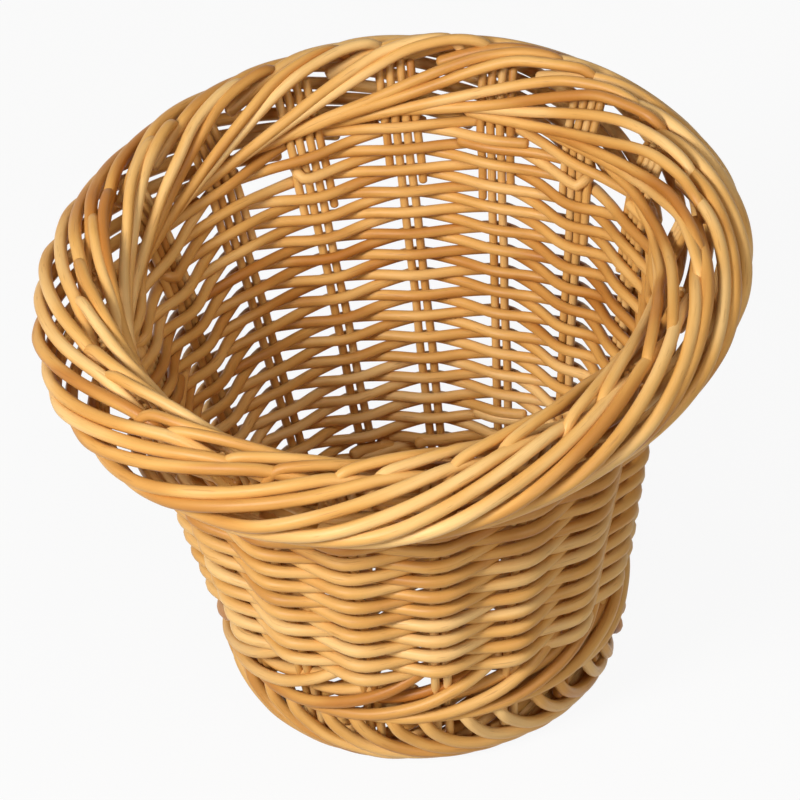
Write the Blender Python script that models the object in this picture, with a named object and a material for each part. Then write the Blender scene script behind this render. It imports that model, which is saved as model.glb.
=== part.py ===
"""Round rattan basket with a slanting mouth, a rolled rim and a rolled foot.

Seventeen folded stakes stand in a ring and flare outwards. Long weavers pass inside one stake
and outside the next, climbing row by row. Short rows that turn back around the stakes raise the
back of the wall (+Y), so that the mouth slants down to the front (-Y). Folded rods roll over the
top of the wall as the rim, and others roll under its lower edge as the foot. The ground is z = 0
and the middle of the foot is the origin. Angles are counted from the back, towards -X.
"""
from math import cos, dist, floor, pi, radians, sin, sqrt

import bmesh
import bpy
import numpy as np

MM = 0.001

# Rods
weaver_diameter = 2.8 * MM
stake_diameter = 2.6 * MM
border_diameter = 3.3 * MM
clearance = 0.3 * MM
ease = 0.25 * MM
twin_gap = 0.6 * MM
weld_distance = 0.01 * MM

# Wall
stake_count = 17
stake_lean = radians(4.8)
waist_radius = 56.0 * MM
mouth_radius = 79.0 * MM
flare_start = 31.5 * MM
flare_power = 1.1
collar_flare = 4.8 * MM
base_height = 30.0 * MM
stake_drop = 2.2 * MM
stake_bottom = base_height - stake_drop
stake_parts = 9

# Rows of weaving
weave_rise = 3.6 * MM
weave_start = base_height + weave_rise
row_pitch = 3.1 * MM
wall_weaver_count = 5
seam_stake = -7
short_row_bias = 0.7

# Rim
rim_height = 141.3 * MM
rim_slope = 14.1 * MM
rim_inset = 5.9 * MM
rim_width = 30.5 * MM
rim_depth = 17.0 * MM
rim_rod_gap = 0.8 * MM
rim_section_shares = (
    (0.38, 0.86), (0.52, 0.93), (0.66, 0.98), (0.81, 1.00), (0.93, 0.94), (1.00, 0.75),
    (0.97, 0.55), (0.86, 0.39), (0.72, 0.26), (0.58, 0.12), (0.44, 0.00), (0.30, 0.03),
    (0.16, 0.14), (0.06, 0.36), (0.01, 0.60), (0.00, 0.85),
)

# Foot
foot_width = 14.5 * MM
foot_cut = 0.5 * MM
foot_rod_gap = 0.5 * MM
foot_section_shares = (
    (1.00, 1.00), (1.00, 0.90), (0.93, 0.80), (0.82, 0.67), (0.73, 0.49), (0.67, 0.34),
    (0.65, 0.22), (0.60, 0.15), (0.51, 0.09), (0.40, 0.05), (0.29, 0.00), (0.00, 0.00),
)

# Base
base_pitch = 3.6 * MM
binding_radius = 10.5 * MM
base_open_share = 2.7
crossing_bite = 0.7 * MM
crossing_reach = 9.0 * MM
ground_depth = 5.0 * MM

# Colours, linear RGB
stake_colour = (0.50, 0.27, 0.10)
weaver_colour = (0.66, 0.38, 0.15)
border_colour = (0.72, 0.44, 0.18)
base_colour = (0.56, 0.31, 0.12)
rattan_roughness = 0.45

# Worked out from the sizes above
stake_step = 2 * pi / stake_count
stake_half = (stake_diameter + twin_gap) / 2
weave_contact = (stake_diameter + weaver_diameter) / 2 + clearance
weave_reach = weave_contact + ease
weave_flat = stake_half + weaver_diameter / 2
border_contact = (stake_diameter + border_diameter) / 2 + clearance
rim_inner = mouth_radius - rim_inset
rim_outer = rim_inner + rim_width - border_diameter
top_row_drop = rim_depth * rim_section_shares[0][1] + (border_diameter + weaver_diameter) / 2 + clearance
stake_top_drop = border_diameter + stake_diameter / 2 + clearance
foot_outer = waist_radius + border_contact + clearance
foot_top = weave_start - (border_diameter + weaver_diameter) / 2 - clearance
foot_low = border_diameter / 2 - foot_cut
base_open_radius = base_open_share * weave_contact / stake_step


def stake_angle(number):
    """Angle of a stake; numbers 0 and -1 stand on both sides of the back."""
    return (number + 0.5) * stake_step


def crest(angle):
    """Height of the middle of the rim's top rod."""
    return rim_height + rim_slope * cos(angle)


def wall_radius(angle, height):
    """Radius of the ring of stakes: a flare from the waist up, and a further one above the weave."""
    level = height * rim_height / crest(angle)
    share = min(max((level - flare_start) / (rim_height - flare_start), 0), 1)
    collar = max(1 - (crest(angle) - height) / top_row_drop, 0)
    return waist_radius + (mouth_radius - waist_radius) * share**flare_power + collar_flare * collar


def lean(angle, height):
    """The whole basket turns a little as it rises, as its stakes lean over sideways."""
    return angle + stake_lean * (height / crest(angle) - 0.5)


def place(angle, radius, height):
    """A point of the basket."""
    turned = lean(angle, height)
    return (-radius * sin(turned), radius * cos(turned), height)


def rattan(name, colour):
    """A satin rattan finish for one piece."""
    finish = bpy.data.materials.new(name)
    finish.use_nodes = True
    shader = finish.node_tree.nodes["Principled BSDF"]
    shader.inputs["Base Color"].default_value = (*colour, 1)
    shader.inputs["Roughness"].default_value = rattan_roughness
    shader.inputs["Metallic"].default_value = 0
    finish.diffuse_color = (*colour, 1)
    return finish


def rod(name, points, diameter, colour, collection, sides_level=0):
    """A rod along a run of points, as a curve object with filled ends."""
    curve = bpy.data.curves.new(name, "CURVE")
    curve.dimensions = "3D"
    curve.bevel_depth = diameter / 2
    curve.bevel_resolution = sides_level
    curve.use_fill_caps = True
    spline = curve.splines.new("POLY")
    spline.points.add(len(points) - 1)
    for spot, point in zip(points, spline.points):
        point.co = (*spot, 1)
    piece = bpy.data.objects.new(name, curve)
    piece.data.materials.append(rattan(name + "_rattan", colour))
    collection.objects.link(piece)
    return piece


def as_mesh(piece, collection):
    """The same rod as a closed mesh, so that it can be cut or joined."""
    bpy.context.view_layer.update()
    seen = piece.evaluated_get(bpy.context.evaluated_depsgraph_get())
    mesh = bpy.data.meshes.new_from_object(seen)
    form = bmesh.new()
    form.from_mesh(mesh)
    bmesh.ops.remove_doubles(form, verts=form.verts, dist=weld_distance)
    form.to_mesh(mesh)
    form.free()
    name, matrix = piece.name, piece.matrix_world.copy()
    bpy.data.objects.remove(piece)
    solid = bpy.data.objects.new(name, mesh)
    solid.matrix_world = matrix
    collection.objects.link(solid)
    return solid


def folded_stake(number):
    """A long rod folded at the bottom, whose two legs stand side by side in the wall."""
    angle = stake_angle(number)
    bottom = stake_bottom + stake_half
    neck = crest(angle) - top_row_drop
    heights = [bottom + (neck - bottom) * step / stake_parts for step in range(stake_parts + 1)]
    heights.append(crest(angle) - stake_top_drop)
    legs = []
    for side in (-1, 1):
        leg = []
        for height in heights:
            radius = wall_radius(angle, height)
            leg.append(place(angle + side * stake_half / radius, radius, height))
        legs.append(leg)
    return legs[0][::-1] + [place(angle, waist_radius, stake_bottom)] + legs[1]


class Weave:
    """Heights and turning places of all the rows, so that each stake's rows are evenly spread.

    A pass of a weaver over a stake has an index, which goes up by one from stake to stake, and
    by stake_count from a row to the one above it. Even passes are inside.
    """

    def __init__(self):
        loops = min(self.short_rows(0), self.short_rows(-1)) // 2
        self.turns = []
        for loop in range(1, loops + 1):
            for way in (1, -1):
                self.turns.append(self.last_stake_with(2 * loop, way))
        self.top_start = self.turns[-1] if self.turns else 0
        self.end_stake = 2 * stake_count + self.top_start - 1
        room = crest(pi) - top_row_drop - weave_start
        beyond = (self.end_stake - seam_stake) / stake_count
        self.wall_end = round(room / row_pitch - beyond) * stake_count
        self.even_pitch = room * stake_count / (self.wall_end + self.end_stake - seam_stake)

    def lift(self, stake):
        """How much higher the top row is at a stake than at the front."""
        return rim_slope * (1 + cos(stake_angle(stake)))

    def short_rows(self, stake):
        """An even number of short rows that fits a stake, none at the seam."""
        if (stake - seam_stake) % stake_count == 0:
            return 0
        return 2 * floor((self.lift(stake) / row_pitch + short_row_bias) / 2)

    def last_stake_with(self, rows, way):
        """The farthest stake from the back, going one way, that has room for so many rows."""
        stake = 0 if way > 0 else -1
        while self.short_rows(stake + way) >= rows:
            stake += way
        return stake

    def height(self, stake, level):
        """Height of a row at a stake; the level counts the rows below it there."""
        home = (stake - seam_stake) % stake_count + seam_stake
        top_pass = home + stake_count * (1 if home >= self.top_start else 2)
        levels = (self.wall_end + top_pass - seam_stake) / stake_count
        pitch = self.even_pitch * levels + self.lift(stake)
        return weave_start + pitch * level / (levels + self.short_rows(stake))

    def passing(self, index, stake, level, way=1, shifts=None):
        """The points where a weaver passes a stake: flat over its outside, or one point inside.

        The row's level is a function of the stake, and the pass slants as the row does.
        """
        before, height, after = (self.height(along, level(along)) for along in (stake - 1, stake, stake + 1))
        slant = (after - before) / (2 * stake_step)
        radius = wall_radius(stake_angle(stake), height)
        inside = index % 2 == 0
        if shifts is None:
            shifts = (0,) if inside else (-weave_flat, weave_flat)
        off_centre = radius + weave_reach * (-1 if inside else 1)
        turns = [way * shift / radius for shift in shifts]
        return [place(stake_angle(stake) + turn, off_centre, height + slant * turn) for turn in turns]

    def wall_level(self, stake):
        """Level of the full row that passes a stake."""
        return (stake - seam_stake) / stake_count

    def short_level(self, row, stake):
        return (self.wall_end + stake - seam_stake) / stake_count - 1 + row

    def top_level(self, stake):
        return (self.wall_end + stake - seam_stake) / stake_count + self.short_rows(stake)

    def wall_pass(self, index, shifts=None):
        return self.passing(index, seam_stake + index, self.wall_level, 1, shifts)

    def short_pass(self, row, stake, way, shifts=None):
        index = self.wall_end + stake - seam_stake + row - 1
        return self.passing(index, stake, lambda along: self.short_level(row, along), way, shifts)

    def top_pass(self, stake, shifts=None):
        return self.passing(self.wall_end + stake - seam_stake, stake, self.top_level, 1, shifts)

    def turning(self, row, stake, way):
        """A weaver's way round a stake, from one short row to the next."""
        inside = (self.wall_end + stake - seam_stake + row - 1) % 2 == 0
        angle = stake_angle(stake)
        low, high = (self.height(stake, self.short_level(level, stake)) for level in (row, row + 1))
        points = self.short_pass(row, stake, way, (0,) if inside else (-weave_flat,))
        for step in range(5):
            height = low + (high - low) * step / 4
            radius = wall_radius(angle, height)
            along = way * (stake_half + weave_reach * sin(pi * step / 4)) / radius
            across = radius + weave_reach * cos(pi * step / 4) * (-1 if inside else 1)
            points.append(place(angle + along, across, height))
        return points + self.short_pass(row + 1, stake, -way, (weave_flat,) if inside else (0,))

    def joints(self):
        """Even passes where one wall weaver ends and the next begins."""
        last = self.wall_end - self.wall_end % 2
        return [2 * round(last * part / wall_weaver_count / 2) for part in range(wall_weaver_count + 1)]

    def wall_weaver(self, first, last):
        """A weaver of the full rows, with flat ends that butt against its neighbours."""
        points = self.wall_pass(first, (clearance, stake_half))
        for index in range(first + 1, last):
            points += self.wall_pass(index)
        return points + self.wall_pass(last, (-stake_half, -clearance))

    def short_weaver(self):
        """The weaver that goes to and fro across the back, up to the start of the top rows."""
        first = self.joints()[-1]
        points = self.wall_pass(first, (clearance, stake_half))
        for index in range(first + 1, self.wall_end + 1):
            points += self.wall_pass(index)
        stake, row = seam_stake, 1
        for stop in self.turns:
            way = 1 if stop > stake else -1
            for along in range(stake + way, stop, way):
                points += self.short_pass(row, along, way)
            points += self.turning(row, stop, way)
            stake, row = stop, row + 1
        joint = self.top_joint()
        for along in range(stake + 1, joint):
            points += self.top_pass(along)
        return points + self.top_pass(joint, (-stake_half, -clearance))

    def top_joint(self):
        """The first inside pass of the top rows after their start."""
        joint = self.top_start + 1
        return joint + (self.wall_end + joint - seam_stake) % 2

    def top_weaver(self):
        """The weaver of the top two rows."""
        joint = self.top_joint()
        last = self.end_stake - (self.wall_end + self.end_stake - seam_stake) % 2
        points = self.top_pass(joint, (clearance, stake_half))
        for along in range(joint + 1, last):
            points += self.top_pass(along)
        return points + self.top_pass(last, (-stake_half, stake_half))


def section_slots(outline, pitch):
    """Evenly spaced places along an outline, at least one pitch apart."""
    points = np.array(outline)
    lengths = np.hypot(*np.diff(points, axis=0).T)
    travelled = np.concatenate([[0], np.cumsum(lengths)])
    stops = np.linspace(0, travelled[-1], floor(travelled[-1] / pitch) + 1)
    return list(zip(np.interp(stops, travelled, points[:, 0]), np.interp(stops, travelled, points[:, 1])))


def folded_border_rod(number, slots, way, spot):
    """A rod folded at its inner end, whose legs follow each other half a stake apart.

    At every half step round the basket each leg moves on by one slot of the border's section.
    """
    ends = len(slots) - 1
    legs = []
    for leg in (0, 1):
        steps = range(ends + 1 - leg)
        legs.append([spot((2 * number + way * (step + leg)) * stake_step / 2, *slots[step]) for step in steps])
    return legs[0] + legs[1][::-1]


def rim_spot(angle, radius, drop):
    return place(angle, radius, crest(angle) - drop)


def rim_slots():
    outline = [(rim_inner + (rim_outer - rim_inner) * out, rim_depth * down) for out, down in rim_section_shares]
    return section_slots(outline, border_diameter + rim_rod_gap)


def foot_slots():
    inner = foot_outer - foot_width
    outline = [(inner + (foot_outer - inner) * out, foot_low + (foot_top - foot_low) * up)
               for out, up in foot_section_shares]
    return section_slots(outline, border_diameter + foot_rod_gap)


def ground_cutter(collection):
    """A block below the ground, which cuts the foot's rods flat."""
    mesh = bpy.data.meshes.new("ground_cutter")
    form = bmesh.new()
    bmesh.ops.create_cube(form, size=1)
    bmesh.ops.scale(form, vec=(2 * rim_outer, 2 * rim_outer, ground_depth), verts=form.verts)
    bmesh.ops.translate(form, vec=(0, 0, -ground_depth / 2), verts=form.verts)
    form.to_mesh(mesh)
    form.free()
    cutter = bpy.data.objects.new("ground_cutter", mesh)
    cutter.hide_render = True
    cutter.display_type = "WIRE"
    collection.objects.link(cutter)
    return cutter


def bundles():
    """The stakes at both ends of the base's upper and lower bundles of sticks."""
    quarter = stake_count // 4
    half = (stake_count + 1) // 2
    stakes = list(range(stake_count))
    return (stakes[:quarter], stakes[half:half + quarter]), (stakes[quarter:half], stakes[half + quarter:])


def bundle_sticks(first, last, height):
    """Sticks that lie side by side across the middle and fan out to the stakes at both ends.

    The first stakes lie on one side and the last ones opposite. Each stick is a dictionary of its
    halves, by stake, as points from the wall to the crossing. A last stake fewer leaves the middle
    stick with one half.
    """
    outline = (waist_radius - stake_diameter / 2 - clearance, base_open_radius - weaver_diameter / 2)
    middle = (stake_angle(sum(first) / len(first)) + stake_angle(sum(last) / len(last)) - pi) / 2
    heading = lean(middle, base_height)
    opposite = last[::-1]
    if len(last) < len(first):
        opposite.insert(len(first) // 2, None)
    sticks = []
    for lane, ends in enumerate(zip(first, opposite)):
        aside = (lane - (len(first) - 1) / 2) * (stake_diameter - crossing_bite)
        stick = {}
        for stake, along in zip(ends, (crossing_reach, -crossing_reach)):
            if stake is not None:
                stick[stake] = [place(stake_angle(stake), radius, base_height) for radius in outline]
                x = -along * sin(heading) - aside * cos(heading)
                y = along * cos(heading) - aside * sin(heading)
                stick[stake].append((x, y, height))
        sticks.append(stick)
    return sticks


def base_layers():
    """The upper and the lower sticks of the base."""
    rise = (stake_diameter - crossing_bite) / 2
    upper, lower = bundles()
    return bundle_sticks(*upper, base_height + rise), bundle_sticks(*lower, base_height - rise)


def base_sticks(collection, cutters):
    """Two bundles of sticks, bound into one cross, whose ends reach every stake."""
    upper, lower = base_layers()
    pieces = []
    for number, stick in enumerate(lower + upper):
        halves = list(stick.values())
        if len(halves) == 1:
            halves.append([(0, 0, halves[0][-1][2])])
        name = f"base_stick_{number}" if number else "base_sticks"
        place_in = cutters if number else collection
        piece = rod(name, halves[0] + halves[1][::-1], stake_diameter, base_colour, place_in, 1)
        pieces.append(as_mesh(piece, place_in))
    for other in pieces[1:]:
        other.hide_render = True
        other.display_type = "WIRE"
        join = pieces[0].modifiers.new(other.name, "BOOLEAN")
        join.operation = "UNION"
        join.solver = "EXACT"
        join.object = other


def at_radius(points, radius):
    """Where half a stick of the base passes a radius."""
    inwards = np.array(points[::-1])
    return [np.interp(radius, np.hypot(inwards[:, 0], inwards[:, 1]), column) for column in inwards.T]


def base_weaver():
    """A spiral that binds the four arms of the cross, and then passes over and under each stick.

    It binds them over the lower sticks and under the upper ones.
    """
    upper, lower = base_layers()
    halves = {stake: points for stick in upper + lower for stake, points in stick.items()}
    low_stakes = {stake for stick in lower for stake in stick}
    outer = waist_radius - weave_reach - weaver_diameter - clearance
    first = floor((binding_radius - base_open_radius) / base_pitch * stake_count)
    last = floor((outer - base_open_radius) / base_pitch * stake_count)
    passes = []
    for index in range(first, last + 1):
        stake = index % stake_count
        over = stake in low_stakes if index < 0 else index % 2 == 0
        radius = base_open_radius + base_pitch * index / stake_count
        passes.append((at_radius(halves[stake], radius), 1 if over else -1))
    points = []
    for number, (spot, side) in enumerate(passes):
        beside = passes[max(number - 1, 0):number + 2]
        crossings = [dist(spot, other) for other, other_side in beside if other_side != side]
        reach = weave_reach
        if crossings:
            spacing = min(crossings)
            reach = weave_contact * spacing / sqrt(spacing**2 - 4 * weave_contact**2)
        points.append((spot[0], spot[1], spot[2] + side * reach))
    return points


def main():
    for leftover in list(bpy.data.objects):
        bpy.data.objects.remove(leftover)
    basket = bpy.data.collections.new("rattan_basket")
    cutters = bpy.data.collections.new("cutters")
    for collection in (basket, cutters):
        bpy.context.scene.collection.children.link(collection)
    ground = ground_cutter(cutters)

    for number in range(stake_count):
        name = f"{number + 1:02d}"
        rod("stake_" + name, folded_stake(number), stake_diameter, stake_colour, basket)
        rim = folded_border_rod(number, rim_slots(), 1, rim_spot)
        rod("rim_rod_" + name, rim, border_diameter, border_colour, basket)
        foot = folded_border_rod(number, foot_slots(), -1, place)
        piece = rod("foot_rod_" + name, foot, border_diameter, border_colour, basket, 1)
        piece = as_mesh(piece, basket)
        cut = piece.modifiers.new("ground", "BOOLEAN")
        cut.operation = "DIFFERENCE"
        cut.solver = "EXACT"
        cut.object = ground

    weave = Weave()
    joints = weave.joints()
    for number, (first, last) in enumerate(zip(joints, joints[1:]), 1):
        rod(f"weaver_{number}", weave.wall_weaver(first, last), weaver_diameter, weaver_colour, basket)
    rod("short_row_weaver", weave.short_weaver(), weaver_diameter, weaver_colour, basket)
    rod("top_weaver", weave.top_weaver(), weaver_diameter, weaver_colour, basket)
    base_sticks(basket, cutters)
    rod("base_weaver", base_weaver(), weaver_diameter, base_colour, basket)


main()
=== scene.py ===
from math import cos, floor, pi, radians, sin

import bpy
import numpy as np
from bpy.props import FloatProperty, FloatVectorProperty, IntProperty, PointerProperty
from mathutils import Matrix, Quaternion, Vector


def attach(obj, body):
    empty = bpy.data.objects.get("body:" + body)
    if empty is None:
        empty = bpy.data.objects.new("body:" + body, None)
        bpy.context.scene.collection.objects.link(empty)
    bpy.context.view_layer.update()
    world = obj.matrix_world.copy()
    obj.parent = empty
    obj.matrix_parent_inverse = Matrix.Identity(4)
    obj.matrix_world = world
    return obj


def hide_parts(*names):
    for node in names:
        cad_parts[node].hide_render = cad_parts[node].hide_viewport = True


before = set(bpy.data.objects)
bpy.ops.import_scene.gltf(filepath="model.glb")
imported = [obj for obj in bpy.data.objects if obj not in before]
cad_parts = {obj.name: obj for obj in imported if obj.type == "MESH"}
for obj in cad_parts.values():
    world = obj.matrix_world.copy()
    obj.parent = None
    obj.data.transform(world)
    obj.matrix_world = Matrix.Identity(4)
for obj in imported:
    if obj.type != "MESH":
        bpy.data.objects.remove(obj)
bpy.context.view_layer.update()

bl_info = {
    "name": "Rattan Basket",
    "version": (1, 0, 0),
    "blender": (4, 5, 0),
    "location": "3D View > Sidebar > Rattan Basket",
    "description": "Weaves the visible strands of a round rattan basket with a rolled rim and foot",
    "category": "Object",
}

MM = 0.001


class BasketSizes(bpy.types.PropertyGroup):
    """Sizes of the strands and of what they follow"""

    weaver_diameter: FloatProperty(
        name="Weaver", description="Thickness of the strands of the rows", default=3.2 * MM, unit="LENGTH")
    stake_diameter: FloatProperty(
        name="Stake", description="Thickness of the upright strands", default=2.5 * MM, unit="LENGTH")
    roll_diameter: FloatProperty(
        name="Roll", description="Thickness of the strands that roll over the rim's edge", default=3.8 * MM,
        unit="LENGTH")
    loop_diameter: FloatProperty(
        name="Loop", description="Thickness of the strands that loop down inside the rim", default=3.3 * MM,
        unit="LENGTH")
    foot_diameter: FloatProperty(
        name="Foot", description="Thickness of the strands of the foot", default=3.5 * MM, unit="LENGTH")
    base_diameter: FloatProperty(
        name="Base weaver", description="Thickness of the strand that binds the base", default=2.9 * MM,
        unit="LENGTH")
    twin_half: FloatProperty(
        name="Twin half", description="Half the distance between the strands of a pair of stakes",
        default=1.6 * MM, unit="LENGTH")
    weave_reach: FloatProperty(
        name="Reach", description="How far the rows pass inside and outside the stakes", default=2.85 * MM,
        unit="LENGTH")
    stray: FloatProperty(
        name="Stray", description="How far hand work leaves a strand off its even course",
        default=0.22 * MM, unit="LENGTH")
    strand_sides: IntProperty(
        name="Sides", description="Sides of a strand's round section", default=12, min=6, max=24)


class BasketColours(bpy.types.PropertyGroup):
    """Colours of the rattan and of the studio"""

    pale: FloatVectorProperty(
        name="Pale", description="Rattan where it is lightest", subtype="COLOR", default=(0.80, 0.51, 0.20))
    honey: FloatVectorProperty(
        name="Honey", description="Most of the rattan", subtype="COLOR", default=(0.66, 0.345, 0.088))
    tan: FloatVectorProperty(
        name="Tan", description="Rattan where it is darkest", subtype="COLOR", default=(0.42, 0.155, 0.024))
    fibre: FloatVectorProperty(
        name="Fibre", description="Fine pores along the strands", subtype="COLOR",
        default=(0.30, 0.12, 0.030))
    floor: FloatVectorProperty(
        name="Floor", description="Floor and backdrop", subtype="COLOR", default=(0.5, 0.49, 0.47))


class BasketCamera(bpy.types.PropertyGroup):
    """Where the basket is seen from"""

    focal_length: FloatProperty(name="Focal length", description="In millimetres", default=323.7)
    distance: FloatProperty(
        name="Distance", description="From the camera to the target", default=2.041, unit="LENGTH")
    azimuth: FloatProperty(
        name="Azimuth", description="From the low side of the rim", default=radians(17.7), unit="ROTATION")
    elevation: FloatProperty(
        name="Elevation", description="Above the horizon", default=radians(34.99), unit="ROTATION")
    roll: FloatProperty(
        name="Roll", description="Tilt of the picture", default=radians(-5.88), unit="ROTATION")
    aside: FloatProperty(
        name="Aside", description="Target to the right of the middle", default=-1.28 * MM, unit="LENGTH")
    target_height: FloatProperty(
        name="Target height", description="Target above the floor", default=90.45 * MM, unit="LENGTH")


class BasketSettings(bpy.types.PropertyGroup):
    """All settings of the basket"""

    sizes: PointerProperty(type=BasketSizes)
    colours: PointerProperty(type=BasketColours)
    camera: PointerProperty(type=BasketCamera)


def settings():
    return bpy.context.scene.rattan_basket


# The stakes and the wall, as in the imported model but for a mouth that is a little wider
stake_count = 17
stake_step = 2 * pi / stake_count
stake_lean = radians(4.8)
waist_radius = 56.0 * MM
mouth_radius = 81.0 * MM
flare_start = 31.5 * MM
flare_power = 1.1
collar_flare = 4.8 * MM
stake_fold = 9.0 * MM
stake_top_drop = 3.2 * MM
stake_parts = 10
foot_tuck = 6.0 * MM
rim_height = 141.3 * MM
rim_slope = 14.1 * MM

# The short strands beside the stakes: where they pass below the rim, and how far aside in halves of a pair
beside_low_drop = 41 * MM
beside_low_stray = 5 * MM
beside_drops = (32 * MM, 24 * MM, 15 * MM, 4 * MM)
beside_share = 2.85

# The rows of the wall
weave_start = 33.6 * MM
row_pitch = 3.1 * MM
top_row_drop = 17.97 * MM
wall_weaver_count = 5
seam_stake = -7
short_row_bias = 0.7
outward_bulge = 0.6 * MM
outward_fullness = 0.14
turn_parts = 4
crossing_gap = 0.8 * stake_step
row_spacing = 2.2 * MM

# The ends of the weavers, which lie beside each other
lap_shift = 1.25 * MM
lap_reach = 0.4
lap_lift = 0.35

# The rim: sections as radius and height from the crest in millimetres, with turns in stakes for the loops,
# and in the same measures how far hand work and the shape of the edge move them
rim_roll = (
    (80, -23.6), (84.2, -22.4), (89, -20.4), (93.8, -17.8), (97.8, -14.6), (100.2, -11), (99.6, -7.8),
    (97.2, -4.9), (94, -2.3), (91, -0.8), (88.5, -1.0), (86.5, -3.4), (86, -6.5))
rim_roll_spacing = 0.5
rim_roll_parts = 22
rim_roll_pitch = 5.4
rim_roll_pitch_stray = 0.04
rim_roll_end = 0.12
rim_roll_end_stray = 0.12
rim_roll_sway = 0.8
rim_roll_wave = 0.4
rim_loop = (
    (0, 88.4, -5.5), (0.04, 88.4, -2.4), (0.14, 87.2, 0.5), (0.4, 84.6, 1.3), (0.78, 81.2, 0.2),
    (1.15, 78.4, -3.0), (1.6, 76.4, -7.6), (2.1, 75.3, -12.0), (2.7, 75.2, -15.0), (3.2, 76.4, -16.6),
    (3.5, 78.2, -16.8))
rim_loop_start = 0.05
rim_loop_start_stray = 0.07
rim_loop_twin = 0.36
rim_loop_reach_stray = 0.12
rim_loop_shift = 0.5
rim_loop_stray = 0.3
rim_edge_start = 84
rim_edge_width = 16
rim_droop = 3.0
rim_pull = 2.4
rim_pull_angle = radians(236)
rim_pull_power = 5

# The foot: turns in stakes, radius and height in millimetres of the strands that run round it and up under
# the rows, and of those that roll under it and up its inside
foot_rising = (
    (-3.0, 55.2, 19.2), (-2.3, 56.6, 20.0), (-1.65, 57.6, 21.8), (-1.0, 58.2, 25.8), (-0.5, 58.2, 30.4),
    (-0.14, 57.0, 34.4), (0.1, 55.6, 37.4))
foot_rising_end = 0.7
foot_rising_end_stray = 0.05
foot_rising_twin = 0.5
foot_rising_inset = 2.8
foot_rising_lift = 5.2
foot_rising_top = 37.4
foot_rolling = (
    (-0.12, 54.6, 20.5), (0, 56.2, 18.6), (0.1, 56.4, 15.2), (0.3, 55.0, 10.6), (0.55, 53.6, 7.2),
    (0.9, 52.2, 4.8), (1.4, 50.6, 2.9), (1.9, 48.6, 2.2), (2.4, 46.9, 3.6), (2.9, 47, 8), (3.5, 49.6, 16),
    (4.0, 51.4, 23), (4.35, 52.6, 27.6))
foot_rolling_start = 0.3
foot_rolling_start_stray = 0.03
foot_rolling_twin = 0.45
foot_radius_stray = 0.15
foot_height_stray = 0.2

# The base
base_height = 30.0 * MM
base_pitch = 3.6 * MM
base_open_radius = 21.92 * MM
binding_radius = 10.5 * MM
base_edge_radius = 49.3 * MM
crossing_reach = 9.0 * MM
lane_pitch = 2.1 * MM
bundle_rise = 1.1 * MM
base_stick_radii = (54.3 * MM, 45 * MM, 33 * MM, base_open_radius - 1.5 * MM)
base_reach = 2.8 * MM
base_spacing = 2.0 * MM
base_tone = 0.5

# How finely a strand is drawn, and its rounded tips: their places in thicknesses and how full they are
strand_spacing = 1.6 * MM
curve_parts = 8
least_parts = 4
tip_places = (0.12, 0.32)
tip_fullness = (0.55, 0.88)
tip_room = 1.3
grain_shift = 0.61
merge_distance = 0.005 * MM
smooth_angle = radians(50)

# The studio: how white the floor looks, how much the surroundings light the basket, and the lamps, with
# azimuth, elevation, distance, size and power
floor_size = 8
floor_whiteness = 0.93
surroundings = 0.04
lamps = (
    ("key", -30, 38, 1.6, 0.45, 24.5), ("fill", 44, 26, 2.0, 1.0, 11), ("top", 40, 66, 2.0, 0.8, 8))
sensor_width = 36
clip_end = 20


def stake_angle(number):
    """Angle of a stake; numbers 0 and -1 stand on both sides of the back."""
    return (number + 0.5) * stake_step


def crest(angle):
    """Height of the middle of the rim's top strand."""
    return rim_height + rim_slope * cos(angle)


def wall_radius(angle, height):
    """Radius of the ring of stakes: a flare from the waist up, and a further one above the weave."""
    level = height * rim_height / crest(angle)
    share = min(max((level - flare_start) / (rim_height - flare_start), 0), 1)
    collar = max(1 - (crest(angle) - height) / top_row_drop, 0)
    return waist_radius + (mouth_radius - waist_radius) * share**flare_power + collar_flare * collar


def place(angle, radius, height):
    """A point of the basket, which turns a little as it rises."""
    turned = angle + stake_lean * (height / crest(angle) - 0.5)
    return (-radius * sin(turned), radius * cos(turned), height)


def smooth_run(points, spacing):
    """Evenly spaced points along a smooth curve through the given ones, with what goes along with them."""
    knots = np.array(points, dtype=float)
    before = np.vstack([2 * knots[0] - knots[1], knots[:-1]])
    after = np.vstack([knots[1:], 2 * knots[-1] - knots[-2]])
    tangents = (after - before) / 2
    steps = np.linspace(0, 1, curve_parts + 1)[:-1, None]
    runs = []
    for start, end, leave, arrive in zip(knots, knots[1:], tangents, tangents[1:]):
        runs.append(start * (2 * steps**3 - 3 * steps**2 + 1) + leave * (steps**3 - 2 * steps**2 + steps)
                    + end * (3 * steps**2 - 2 * steps**3) + arrive * (steps**3 - steps**2))
    run = np.vstack(runs + [knots[-1:]])
    travelled = np.concatenate([[0], np.cumsum(np.linalg.norm(np.diff(run[:, :3], axis=0), axis=1))])
    stops = np.linspace(0, travelled[-1], max(int(round(travelled[-1] / spacing)), least_parts) + 1)
    return np.column_stack([np.interp(stops, travelled, column) for column in run.T])


class Hand:
    """The small unevenness of hand work, the same at each run."""

    def __init__(self, seed):
        self.random = np.random.default_rng(seed)

    def off(self, reach):
        return float(self.random.uniform(-reach, reach))


def deselect():
    bpy.ops.object.select_all(action="DESELECT")


strands_made = [0]


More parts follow.
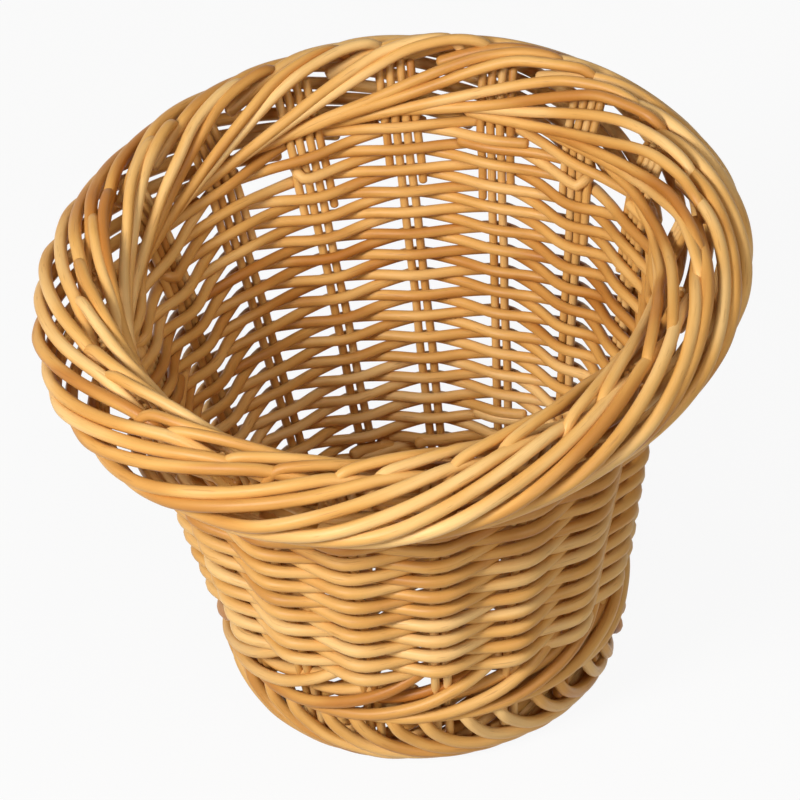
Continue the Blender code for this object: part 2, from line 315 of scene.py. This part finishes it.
def strand(points, diameter, tone, spacing=strand_spacing):
    """One smooth round strand as a mesh, with rounded tips.

    Points may carry a fourth value, how much thicker the strand is there. Each point of its surface
    keeps its place in the straight strand and the strand's tone, which the grain and the colour of
    the rattan follow.
    """
    run = smooth_run(points, spacing)
    if run.shape[1] < 4:
        run = np.column_stack([run, np.ones(len(run))])
    sides = settings().sizes.strand_sides
    lengths = np.concatenate([[0], np.cumsum(np.linalg.norm(np.diff(run[:, :3], axis=0), axis=1))])
    bpy.ops.curve.primitive_nurbs_path_add(location=(0, 0, 0))
    rod = bpy.context.object
    curve = rod.data
    curve.splines.clear()
    spline = curve.splines.new("POLY")
    tip = np.array(tip_places) * diameter
    inner = np.column_stack([np.interp(tip, lengths, column) for column in run.T])
    outer = np.column_stack([np.interp(lengths[-1] - tip[::-1], lengths, column) for column in run.T])
    keep = run[(lengths > tip[1] * tip_room) & (lengths < lengths[-1] - tip[1] * tip_room)]
    run = np.vstack([run[:1], inner, keep, outer, run[-1:]])
    run, radii = run[:, :3], run[:, 3].copy()
    radii[[0, -1]] *= tip_fullness[0]
    radii[[1, -2]] *= tip_fullness[1]
    count = len(run)
    lengths = np.concatenate([[0], np.cumsum(np.linalg.norm(np.diff(run, axis=0), axis=1))])
    spline.points.add(count - 1)
    spline.points.foreach_set("co", np.column_stack([run, np.ones(count)]).ravel())
    spline.points.foreach_set("radius", radii)
    curve.bevel_depth = diameter / 2
    curve.bevel_resolution = sides // 2 - 2
    curve.use_fill_caps = True
    bpy.ops.object.convert(target="MESH")
    mesh = bpy.context.object.data
    rings = np.concatenate(
        [np.full(sides, count - 1), np.zeros(sides, int), np.repeat(np.arange(count), sides)])
    turns = np.tile(np.arange(sides), count + 2) * 2 * pi / sides
    start = strands_made[0] * grain_shift
    strands_made[0] += 1
    straight = np.column_stack(
        [np.cos(turns) * diameter / 2, np.sin(turns) * diameter / 2, start + lengths[rings]])
    mesh.attributes.new("strand", "FLOAT_VECTOR", "POINT").data.foreach_set("vector", straight.ravel())
    mesh.attributes.new("tone", "FLOAT", "POINT").data.foreach_set("value", np.full(len(rings), tone))
    return bpy.context.object


def tie(strands, name, material, nodes):
    """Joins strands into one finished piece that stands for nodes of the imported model."""
    deselect()
    for one in strands:
        one.select_set(True)
    piece = strands[0]
    bpy.context.view_layer.objects.active = piece
    if len(strands) > 1:
        bpy.ops.object.join()
    bpy.ops.object.mode_set(mode="EDIT")
    bpy.ops.mesh.select_all(action="SELECT")
    bpy.ops.mesh.remove_doubles(threshold=merge_distance)
    bpy.ops.mesh.select_all(action="SELECT")
    bpy.ops.mesh.normals_make_consistent(inside=False)
    bpy.ops.object.mode_set(mode="OBJECT")
    bpy.ops.object.shade_smooth_by_angle(angle=smooth_angle)
    piece.name = name
    piece.data.name = name
    piece.data.materials.clear()
    piece.data.materials.append(material)
    for uv in list(piece.data.uv_layers):
        piece.data.uv_layers.remove(uv)
    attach(piece, "root")
    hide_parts(*nodes)
    deselect()


class Weave:
    """Heights and turning places of all the rows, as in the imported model.

    A pass of a weaver over a stake has an index, which goes up by one from stake to stake, and
    by stake_count from a row to the one above it. Even passes are inside.
    """

    def __init__(self, seed):
        self.hand = Hand(seed)
        loops = min(self.short_rows(0), self.short_rows(-1)) // 2
        self.turns = []
        for loop in range(1, loops + 1):
            for way in (1, -1):
                self.turns.append(self.last_stake_with(2 * loop, way))
        self.top_start = self.turns[-1] if self.turns else 0
        self.end_stake = 2 * stake_count + self.top_start - 1
        room = crest(pi) - top_row_drop - weave_start
        beyond = (self.end_stake - seam_stake) / stake_count
        self.wall_end = round(room / row_pitch - beyond) * stake_count
        self.even_pitch = room * stake_count / (self.wall_end + self.end_stake - seam_stake)

    def lift(self, stake):
        return rim_slope * (1 + cos(stake_angle(stake)))

    def short_rows(self, stake):
        if (stake - seam_stake) % stake_count == 0:
            return 0
        return 2 * floor((self.lift(stake) / row_pitch + short_row_bias) / 2)

    def last_stake_with(self, rows, way):
        stake = 0 if way > 0 else -1
        while self.short_rows(stake + way) >= rows:
            stake += way
        return stake

    def height(self, stake, level):
        home = (stake - seam_stake) % stake_count + seam_stake
        top_pass = home + stake_count * (1 if home >= self.top_start else 2)
        levels = (self.wall_end + top_pass - seam_stake) / stake_count
        pitch = self.even_pitch * levels + self.lift(stake)
        return weave_start + pitch * level / (levels + self.short_rows(stake))

    def passing(self, index, stake, level):
        """Angle, height and offset from the wall where a weaver passes a stake."""
        sizes = settings().sizes
        side = -1 if index % 2 == 0 else 1
        height = self.height(stake, level) + self.hand.off(sizes.stray)
        reach = sizes.weave_reach + self.hand.off(sizes.stray) + (outward_bulge if side > 0 else 0)
        return (stake_angle(stake), height, side * reach)

    def wall_pass(self, index):
        return self.passing(index, seam_stake + index, index / stake_count)

    def short_pass(self, row, stake):
        first = self.wall_end + stake - seam_stake
        return self.passing(first + row - 1, stake, first / stake_count - 1 + row)

    def top_pass(self, stake):
        index = self.wall_end + stake - seam_stake
        return self.passing(index, stake, index / stake_count + self.short_rows(stake))

    def turning(self, row, stake, way):
        """A weaver's way round a stake, from one short row to the next."""
        sizes = settings().sizes
        first = self.wall_end + stake - seam_stake
        side = -1 if (first + row - 1) % 2 == 0 else 1
        low, high = (self.height(stake, first / stake_count - 1 + level) for level in (row, row + 1))
        radius = wall_radius(stake_angle(stake), low)
        loop = []
        for step in range(turn_parts + 1):
            along = way * (sizes.twin_half + sizes.weave_reach * sin(pi * step / turn_parts)) / radius
            across = side * sizes.weave_reach * cos(pi * step / turn_parts)
            loop.append((stake_angle(stake) + along, low + (high - low) * step / turn_parts, across))
        return loop

    def joints(self):
        last = self.wall_end - self.wall_end % 2
        return [2 * round(last * part / wall_weaver_count / 2) for part in range(wall_weaver_count + 1)]

    def top_joint(self):
        joint = self.top_start + 1
        return joint + (self.wall_end + joint - seam_stake) % 2

    def lap(self, passes, way):
        """Ends a run of passes beside the next strand's end: half a gap on, and a little lower or higher."""
        angle, height, offset = passes[-1 if way > 0 else 0]
        shift = -way * lap_shift
        passes[-1 if way > 0 else 0] = (angle, height + shift, offset)
        tip = (angle + way * lap_reach * stake_step, height + shift, offset * lap_lift)
        return passes + [tip] if way > 0 else [tip] + passes

    def wall_weaver(self, first, last):
        passes = [self.wall_pass(index) for index in range(first, last + 1)]
        return self.lap(self.lap(passes, 1), -1)

    def short_weaver(self):
        passes = [self.wall_pass(index) for index in range(self.joints()[-1], self.wall_end + 1)]
        passes = self.lap(passes, -1)
        stake, row = seam_stake, 1
        for stop in self.turns:
            way = 1 if stop > stake else -1
            passes += [self.short_pass(row, along) for along in range(stake + way, stop, way)]
            passes += self.turning(row, stop, way)
            stake, row = stop, row + 1
        passes += [self.top_pass(along) for along in range(stake + 1, self.top_joint() + 1)]
        return self.lap(passes, 1)

    def top_weaver(self):
        last = self.end_stake - (self.wall_end + self.end_stake - seam_stake) % 2
        passes = [self.top_pass(along) for along in range(self.top_joint(), last + 1)]
        return self.lap(passes, -1)

    def course(self, passes):
        """The points of a weaver: its passes, and halfway between them where it crosses the wall."""
        points = []
        for number, (angle, height, offset) in enumerate(passes):
            if number and abs(angle - passes[number - 1][0]) > crossing_gap:
                other_angle, other_height, _ = passes[number - 1]
                middle = ((angle + other_angle) / 2, (height + other_height) / 2)
                points.append((*place(middle[0], wall_radius(*middle), middle[1]), 1))
            full = 1 + outward_fullness * min(max(offset / settings().sizes.weave_reach, 0), 1)
            points.append((*place(angle, wall_radius(angle, height) + offset, height), full))
        return points


def tones(count, seed):
    """Tones of a number of strands, from dark at 0 to pale at 1."""
    return list(np.random.default_rng(seed).uniform(0, 1, count))


# Materials

def add_node(tree, kind, **values):
    node = tree.nodes.new(kind)
    for name, value in values.items():
        setattr(node, name, value)
    return node


def wire(tree, source, target):
    tree.links.new(source, target)


def math_node(tree, operation, first, second):
    node = add_node(tree, "ShaderNodeMath", operation=operation)
    for socket, value in zip(node.inputs, (first, second)):
        if isinstance(value, (int, float)):
            socket.default_value = value
        else:
            wire(tree, value, socket)
    return node.outputs[0]


def blend_node(tree, factor, first, second):
    node = add_node(tree, "ShaderNodeMix", data_type="RGBA")
    for socket, value in ((node.inputs[0], factor), (node.inputs[6], first), (node.inputs[7], second)):
        wire(tree, value, socket)
    return node.outputs[2]


def seen_directly(tree):
    """Mask of what the camera, a reflection or a look through glass sees, and not the light on the basket."""
    rays = add_node(tree, "ShaderNodeLightPath").outputs
    mirrored = math_node(tree, "MAXIMUM", rays["Is Glossy Ray"], rays["Is Transmission Ray"])
    return math_node(tree, "MAXIMUM", rays["Is Camera Ray"], mirrored)


def rattan_skin():
    """Shared surface of a rattan strand: fibres and pores along it, mottling and its own tone."""
    name = "Rattan skin"
    if name in bpy.data.node_groups:
        return bpy.data.node_groups[name]
    tree = bpy.data.node_groups.new(name, "ShaderNodeTree")
    for label, kind, default in (
            ("Pale", "NodeSocketColor", (1, 1, 1, 1)), ("Honey", "NodeSocketColor", (1, 1, 1, 1)),
            ("Tan", "NodeSocketColor", (1, 1, 1, 1)), ("Fibre", "NodeSocketColor", (1, 1, 1, 1)),
            ("Fibre strength", "NodeSocketFloat", 0.35), ("Mottling", "NodeSocketFloat", 0.5),
            ("Tone spread", "NodeSocketFloat", 0.5), ("Roughness", "NodeSocketFloat", 0.42)):
        socket = tree.interface.new_socket(name=label, in_out="INPUT", socket_type=kind)
        socket.default_value = default
    for label, kind in (("Colour", "NodeSocketColor"), ("Roughness", "NodeSocketFloat"),
                        ("Height", "NodeSocketFloat")):
        tree.interface.new_socket(name=label, in_out="OUTPUT", socket_type=kind)
    inputs = add_node(tree, "NodeGroupInput").outputs
    outputs = add_node(tree, "NodeGroupOutput").inputs
    straight = add_node(tree, "ShaderNodeAttribute", attribute_name="strand").outputs["Vector"]
    tone = add_node(tree, "ShaderNodeAttribute", attribute_name="tone").outputs["Fac"]

    def noise(scale, detail, roughness=0.5):
        stretch = add_node(tree, "ShaderNodeVectorMath", operation="MULTIPLY")
        wire(tree, straight, stretch.inputs[0])
        stretch.inputs[1].default_value = scale
        node = add_node(tree, "ShaderNodeTexNoise")
        node.inputs["Scale"].default_value = 1
        node.inputs["Detail"].default_value = detail
        node.inputs["Roughness"].default_value = roughness
        wire(tree, stretch.outputs[0], node.inputs["Vector"])
        return node.outputs["Fac"]

    def ramp(value, low, high):
        node = add_node(tree, "ShaderNodeMapRange", interpolation_type="SMOOTHSTEP")
        wire(tree, value, node.inputs["Value"])
        node.inputs["From Min"].default_value = low
        node.inputs["From Max"].default_value = high
        return node.outputs["Result"]

    clouds = ramp(noise((120, 120, 22), 2), 0.3, 0.7)
    fibres = noise((2200, 2200, 70), 3, 0.65)
    pores = ramp(noise((1500, 1500, 130), 2), 0.62, 0.74)
    spread = math_node(tree, "MULTIPLY", tone, inputs["Tone spread"])
    cloudy = math_node(tree, "MULTIPLY", clouds, inputs["Mottling"])
    total = math_node(tree, "ADD", inputs["Tone spread"], inputs["Mottling"])
    level = math_node(tree, "DIVIDE", math_node(tree, "ADD", spread, cloudy), total)
    dark = blend_node(tree, ramp(level, 0.0, 0.55), inputs["Tan"], inputs["Honey"])
    colour = blend_node(tree, ramp(level, 0.4, 1.0), dark, inputs["Pale"])
    fibre_mask = math_node(tree, "MULTIPLY", ramp(fibres, 0.45, 0.75), inputs["Fibre strength"])
    pore_mask = math_node(tree, "MULTIPLY", pores, inputs["Fibre strength"])
    colour = blend_node(tree, math_node(tree, "MULTIPLY", fibre_mask, 0.45), colour, inputs["Tan"])
    colour = blend_node(tree, pore_mask, colour, inputs["Fibre"])
    wire(tree, colour, outputs["Colour"])
    rough = math_node(tree, "ADD", inputs["Roughness"], math_node(tree, "MULTIPLY", fibre_mask, 0.25))
    wire(tree, math_node(tree, "ADD", rough, math_node(tree, "MULTIPLY", clouds, 0.06)), outputs["Roughness"])
    height = math_node(tree, "SUBTRACT", fibres, math_node(tree, "MULTIPLY", pores, 0.6))
    wire(tree, height, outputs["Height"])
    return tree


def rattan(name, painted_light_shift=0.0):
    """A satin rattan finish; the shift given makes all its colours lighter as painted light on a lit part, or
    darker below zero as painted shade on a shaded one.
    """
    colours = settings().colours
    material = bpy.data.materials.new(name)
    material.use_nodes = True
    tree = material.node_tree
    shader = tree.nodes["Principled BSDF"]
    skin = add_node(tree, "ShaderNodeGroup", node_tree=rattan_skin())
    for label, colour in (("Pale", colours.pale), ("Honey", colours.honey), ("Tan", colours.tan),
                          ("Fibre", colours.fibre)):
        # Painted light or shade: every colour of the part is scaled lighter or darker by the shift
        skin.inputs[label].default_value = (*[part * (1 + painted_light_shift) for part in colour], 1)
    wire(tree, skin.outputs["Colour"], shader.inputs["Base Color"])
    wire(tree, skin.outputs["Roughness"], shader.inputs["Roughness"])
    bump = add_node(tree, "ShaderNodeBump")
    bump.inputs["Strength"].default_value = 0.25
    bump.inputs["Distance"].default_value = 0.1 * MM
    wire(tree, skin.outputs["Height"], bump.inputs["Height"])
    wire(tree, bump.outputs["Normal"], shader.inputs["Normal"])
    shader.inputs["IOR"].default_value = 1.45
    shader.inputs["Specular IOR Level"].default_value = 0.3
    shader.inputs["Coat Weight"].default_value = 0.05
    shader.inputs["Coat Roughness"].default_value = 0.3
    return material


def stake_radius(angle, height):
    """Radius of a stake: that of the wall, and further in behind the foot."""
    return wall_radius(angle, height) - foot_tuck * max(1 - height / weave_start, 0)


class BASKET_OT_stakes(bpy.types.Operator):
    """Weaves the upright pairs of strands, and the short ones beside them under the rim"""

    bl_idname = "basket.stakes"
    bl_label = "Stakes"

    def execute(self, context):
        sizes = settings().sizes
        hand = Hand(seed=3)
        # Painted shade: the stakes' rattan is made 6% darker, as they lie in shade between the rows
        material = rattan("stake rattan", painted_light_shift=-0.06)
        for number in range(stake_count):
            angle = stake_angle(number)
            top = crest(angle) - stake_top_drop
            bottom = stake_fold + sizes.twin_half
            legs = []
            for side in (-1, 1):
                leg = []
                for step in range(stake_parts + 1):
                    height = bottom + (top - bottom) * step / stake_parts
                    radius = stake_radius(angle, height)
                    aside = side * sizes.twin_half + hand.off(sizes.stray)
                    leg.append(place(angle + aside / radius, radius, height))
                legs.append(leg)
            fold = [place(angle, stake_radius(angle, stake_fold), stake_fold)]
            shades = tones(3, seed=number)
            pieces = [strand(legs[0][::-1] + fold + legs[1], sizes.stake_diameter, shades[0])]
            for side in (-1, 1):
                low = beside_low_drop + hand.off(beside_low_stray)
                beside = []
                for drop in (low, *beside_drops):
                    height = crest(angle) - drop
                    radius = wall_radius(angle, height)
                    aside = side * (beside_share * sizes.twin_half + hand.off(sizes.stray))
                    beside.append(place(angle + aside / radius, radius, height))
                pieces.append(strand(beside, sizes.stake_diameter, shades[side]))
            name = f"{number + 1:02d}"
            tie(pieces, "stake_pair_" + name, material, ["stake_" + name])
        return {"FINISHED"}


class BASKET_OT_rows(bpy.types.Operator):
    """Weaves the rows of the wall, inside one pair of stakes and outside the next"""

    bl_idname = "basket.rows"
    bl_label = "Rows"

    def execute(self, context):
        sizes = settings().sizes
        material = rattan("weaver rattan")
        weave = Weave(seed=11)
        joints = weave.joints()
        runs = [(f"woven_rows_{number}", weave.wall_weaver(first, last), f"weaver_{number}")
                for number, (first, last) in enumerate(zip(joints, joints[1:]), 1)]
        runs.append(("short_rows", weave.short_weaver(), "short_row_weaver"))
        runs.append(("top_rows", weave.top_weaver(), "top_weaver"))
        shades = tones(len(runs), seed=5)
        for shade, (name, passes, node) in zip(shades, runs):
            one = strand(weave.course(passes), sizes.weaver_diameter, shade, row_spacing)
            tie([one], name, material, [node])
        return {"FINISHED"}


def rim_spot(angle, radius, rise):
    return place(angle, radius * MM, crest(angle) + rise * MM)


def rim_roll_strand(slot, hand):
    """A strand that winds out from the wall, round the rim's outer edge and over its top."""
    section = smooth_run([(*spot, 0) for spot in rim_roll], rim_roll_spacing)
    travelled = np.concatenate([[0], np.cumsum(np.linalg.norm(np.diff(section, axis=0), axis=1))])
    middle = section.mean(axis=0)[:2]
    points = []
    sway, phase = hand.off(rim_roll_sway), hand.off(pi)
    pitch = rim_roll_pitch * (1 + hand.off(rim_roll_pitch_stray))
    for step in range(rim_roll_parts + 1):
        share = step / rim_roll_parts
        along = travelled[-1] * share
        shifted = along + sway * sin(phase + 2 * pi * share) * sin(pi * share)
        spot = np.array([np.interp(shifted, travelled, section[:, axis]) for axis in (0, 1)])
        away = spot - middle
        wave = rim_roll_wave * sin(phase * 2 + 3 * pi * share)
        radius, rise = spot + away / np.linalg.norm(away) * wave
        angle = (slot + (along - travelled[-1]) / pitch) * stake_step / 2
        outside = max(radius - rim_edge_start, 0) / rim_edge_width
        rise -= rim_droop * max(cos(angle), 0) * outside
        radius -= rim_pull * max(cos(angle - rim_pull_angle), 0) ** rim_pull_power * outside
        points.append(rim_spot(angle, radius, rise))
    return points


def rim_loop_strand(start, hand):
    """A strand that comes up beside a stake, bends over and runs down the rim's inside."""
    reach = 1 + hand.off(rim_loop_reach_stray)
    aside, above = hand.off(rim_loop_shift), hand.off(rim_loop_shift)
    points = []
    for turn, radius, rise in rim_loop:
        radius += aside + hand.off(rim_loop_stray)
        rise += above + hand.off(rim_loop_stray)
        points.append(rim_spot((start + turn * reach) * stake_step, radius, rise))
    return points


class BASKET_OT_rim(bpy.types.Operator):
    """Winds the strands of the rolled rim"""

    bl_idname = "basket.rim"
    bl_label = "Rim"

    def execute(self, context):
        sizes = settings().sizes
        hand = Hand(seed=23)
        # Painted light: the rim's rattan is made 4% paler, as its rolled top catches the most light
        material = rattan("border rattan", painted_light_shift=0.04)
        for number in range(stake_count):
            shades = tones(4, seed=40 + number)
            pieces = []
            for leg in (0, 1):
                slot = 2 * (number + 0.5 + rim_roll_end) + leg + hand.off(rim_roll_end_stray)
                pieces.append(strand(rim_roll_strand(slot, hand), sizes.roll_diameter, shades[leg]))
            for leg in (0, 1):
                start = number + 0.5 + rim_loop_start + rim_loop_twin * leg
                start += hand.off(rim_loop_start_stray)
                pieces.append(strand(rim_loop_strand(start, hand), sizes.loop_diameter, shades[2 + leg]))
            name = f"{number + 1:02d}"
            tie(pieces, "rim_twist_" + name, material, ["rim_rod_" + name])
        return {"FINISHED"}


def foot_strand(start, table, hand):
    """A strand of the foot through the places that a table gives."""
    points = []
    for turn, radius, height in table:
        radius += hand.off(foot_radius_stray)
        height += hand.off(foot_height_stray)
        points.append(place((start + turn) * stake_step, radius * MM, height * MM))
    return points


class BASKET_OT_foot(bpy.types.Operator):
    """Winds the strands of the rolled foot"""

    bl_idname = "basket.foot"
    bl_label = "Foot"

    def execute(self, context):
        sizes = settings().sizes
        hand = Hand(seed=31)
        material = rattan("foot rattan")
        for number in range(stake_count):
            shades = tones(4, seed=80 + number)
            pieces = []
            for leg in (0, 1):
                start = number + 0.5 + foot_rising_end + foot_rising_twin * leg
                start += hand.off(foot_rising_end_stray)
                inset, lift = foot_rising_inset * leg, foot_rising_lift * leg
                table = [(turn, radius - inset, min(height + lift, foot_rising_top))
                         for turn, radius, height in foot_rising]
                rising = foot_strand(start, table, hand)
                pieces.append(strand(rising, sizes.foot_diameter, shades[3 * leg]))
                start = number + 0.5 + foot_rolling_start + foot_rolling_twin * leg
                start += hand.off(foot_rolling_start_stray)
                rolling = foot_strand(start, foot_rolling, hand)
                pieces.append(strand(rolling, sizes.foot_diameter, shades[1 + leg]))
            name = f"{number + 1:02d}"
            tie(pieces, "foot_twist_" + name, material, ["foot_rod_" + name])
        return {"FINISHED"}


def base_layers():
    """Half sticks of the base by stake, from the wall to the crossing, for both bundles."""
    quarter = stake_count // 4
    half = (stake_count + 1) // 2
    stakes = list(range(stake_count))
    pairs = ((stakes[:quarter], stakes[half:half + quarter], 1),
             (stakes[quarter:half], stakes[half + quarter:], -1))
    layers = []
    for first, last, side in pairs:
        middle = (stake_angle(sum(first) / len(first)) + stake_angle(sum(last) / len(last)) - pi) / 2
        heading = middle + stake_lean * (base_height / crest(middle) - 0.5)
        opposite = last[::-1]
        if len(last) < len(first):
            opposite.insert(len(first) // 2, None)
        sticks = []
        for lane, ends in enumerate(zip(first, opposite)):
            aside = (lane - (len(first) - 1) / 2) * lane_pitch
            stick = {}
            for stake, along in zip(ends, (crossing_reach, -crossing_reach)):
                if stake is not None:
                    stick[stake] = [place(stake_angle(stake), radius, base_height)
                                    for radius in base_stick_radii]
                    x = -along * sin(heading) - aside * cos(heading)
                    y = along * cos(heading) - aside * sin(heading)
                    stick[stake].append((x, y, base_height + side * bundle_rise))
            sticks.append(stick)
        layers.append(sticks)
    return layers


def at_radius(points, radius):
    """Where half a stick of the base passes a radius."""
    outwards = np.array(points[::-1])
    radii = np.hypot(outwards[:, 0], outwards[:, 1])
    return np.array([np.interp(radius, radii, column) for column in outwards.T])


class BASKET_OT_base(bpy.types.Operator):
    """Lays the crossed sticks of the base and the strand that binds them"""

    bl_idname = "basket.base"
    bl_label = "Base"

    def execute(self, context):
        sizes = settings().sizes
        # Painted shade: the base's rattan is made 8% darker, as it lies in shade at the bottom of the inside
        material = rattan("base rattan", painted_light_shift=-0.08)
        upper, lower = base_layers()
        shades = tones(len(upper + lower), seed=7)
        sticks = []
        for shade, stick in zip(shades, upper + lower):
            halves = list(stick.values())
            if len(halves) == 1:
                halves.append([(0, 0, halves[0][-1][2])])
            sticks.append(strand(halves[0] + halves[1][::-1], sizes.stake_diameter, shade))
        tie(sticks, "base_cross", material, ["base_sticks"])
        halves = {stake: points for stick in upper + lower for stake, points in stick.items()}
        low_stakes = {stake for stick in lower for stake in stick}
        first = floor((binding_radius - base_open_radius) / base_pitch * stake_count)
        last = floor((base_edge_radius - base_open_radius) / base_pitch * stake_count)
        spiral = []
        before = None
        for index in range(first, last + 1):
            stake = index % stake_count
            over = stake in low_stakes if index < 0 else index % 2 == 0
            spot = at_radius(halves[stake], base_open_radius + base_pitch * index / stake_count)
            if before is not None and before[1] != over:
                spiral.append((spot + before[0]) / 2)
            before = (spot.copy(), over)
            spot[2] += base_reach if over else -base_reach
            spiral.append(spot)
        one = strand(spiral, sizes.base_diameter, base_tone, base_spacing)
        tie([one], "base_spiral", material, ["base_weaver"])
        return {"FINISHED"}


class BASKET_OT_stage(bpy.types.Operator):
    """Sets up the floor, the lights and the camera"""

    bl_idname = "basket.stage"
    bl_label = "Stage"

    def execute(self, context):
        colours = settings().colours
        view = settings().camera
        scene = context.scene
        deselect()
        bpy.ops.mesh.primitive_plane_add(size=floor_size, location=(0, 0, 0))
        ground = context.object
        ground.name = "floor"
        material = bpy.data.materials.new("floor")
        material.use_nodes = True
        tree = material.node_tree
        shader = tree.nodes["Principled BSDF"]
        shader.inputs["Base Color"].default_value = (*colours.floor, 1)
        shader.inputs["Roughness"].default_value = 0.8
        shader.inputs["Specular IOR Level"].default_value = 0.1
        glow = add_node(tree, "ShaderNodeEmission")
        glow.inputs["Strength"].default_value = 1.0
        mix = add_node(tree, "ShaderNodeMixShader")
        wire(tree, math_node(tree, "MULTIPLY", seen_directly(tree), floor_whiteness), mix.inputs[0])
        wire(tree, shader.outputs[0], mix.inputs[1])
        wire(tree, glow.outputs[0], mix.inputs[2])
        wire(tree, mix.outputs[0], tree.nodes["Material Output"].inputs["Surface"])
        ground.data.materials.append(material)

        world = bpy.data.worlds.new("studio")
        world.use_nodes = True
        scene.world = world
        tree = world.node_tree
        backdrop = tree.nodes["Background"]
        backdrop.inputs["Color"].default_value = (1, 1, 1, 1)
        white = math_node(tree, "MULTIPLY", seen_directly(tree), 1 - surroundings)
        wire(tree, math_node(tree, "ADD", white, surroundings), backdrop.inputs["Strength"])

        for name, azimuth, elevation, distance, size, power in lamps:
            turn, rise = radians(azimuth), radians(elevation)
            spot = Vector((cos(rise) * sin(turn), -cos(rise) * cos(turn), sin(rise))) * distance
            bpy.ops.object.light_add(type="AREA", location=spot)
            lamp = context.object
            lamp.name = name
            lamp.data.size = size
            lamp.data.energy = power
            lamp.rotation_euler = (-spot).to_track_quat("-Z", "Y").to_euler()

        rise, turn = view.elevation, view.azimuth
        back = Vector((cos(rise) * sin(turn), -cos(rise) * cos(turn), sin(rise)))
        right = Vector((cos(turn), sin(turn), 0))
        target = right * view.aside + Vector((0, 0, view.target_height))
        bpy.ops.object.camera_add(location=target + back * view.distance)
        camera = context.object
        camera.name = "camera"
        camera.data.lens = view.focal_length
        camera.data.sensor_width = sensor_width
        camera.data.clip_end = clip_end
        facing = (-back).to_track_quat("-Z", "Y") @ Quaternion((0, 0, 1), view.roll)
        camera.rotation_euler = facing.to_euler()
        scene.camera = camera
        scene.view_settings.view_transform = "Standard"
        return {"FINISHED"}


class BASKET_PT_panel(bpy.types.Panel):
    """Lists the basket's operators and sizes"""

    bl_label = "Rattan Basket"
    bl_idname = "BASKET_PT_panel"
    bl_space_type = "VIEW_3D"
    bl_region_type = "UI"
    bl_category = "Rattan Basket"

    def draw(self, context):
        layout = self.layout
        for kind in operators:
            layout.operator(kind.bl_idname)
        for group in (settings().sizes, settings().colours, settings().camera):
            box = layout.box()
            for name in group.bl_rna.properties.keys():
                if name not in ("rna_type", "name"):
                    box.prop(group, name)


operators = (
    BASKET_OT_stakes, BASKET_OT_rows, BASKET_OT_rim, BASKET_OT_foot, BASKET_OT_base, BASKET_OT_stage)
classes = (BasketSizes, BasketColours, BasketCamera, BasketSettings, *operators, BASKET_PT_panel)


def register():
    for kind in classes:
        bpy.utils.register_class(kind)
    bpy.types.Scene.rattan_basket = PointerProperty(type=BasketSettings)


def unregister():
    del bpy.types.Scene.rattan_basket
    for kind in reversed(classes):
        bpy.utils.unregister_class(kind)


def main():
    register()
    bpy.ops.basket.stakes()
    bpy.ops.basket.rows()
    bpy.ops.basket.rim()
    bpy.ops.basket.foot()
    bpy.ops.basket.base()
    bpy.ops.basket.stage()


if __name__ == "__main__":
    main()
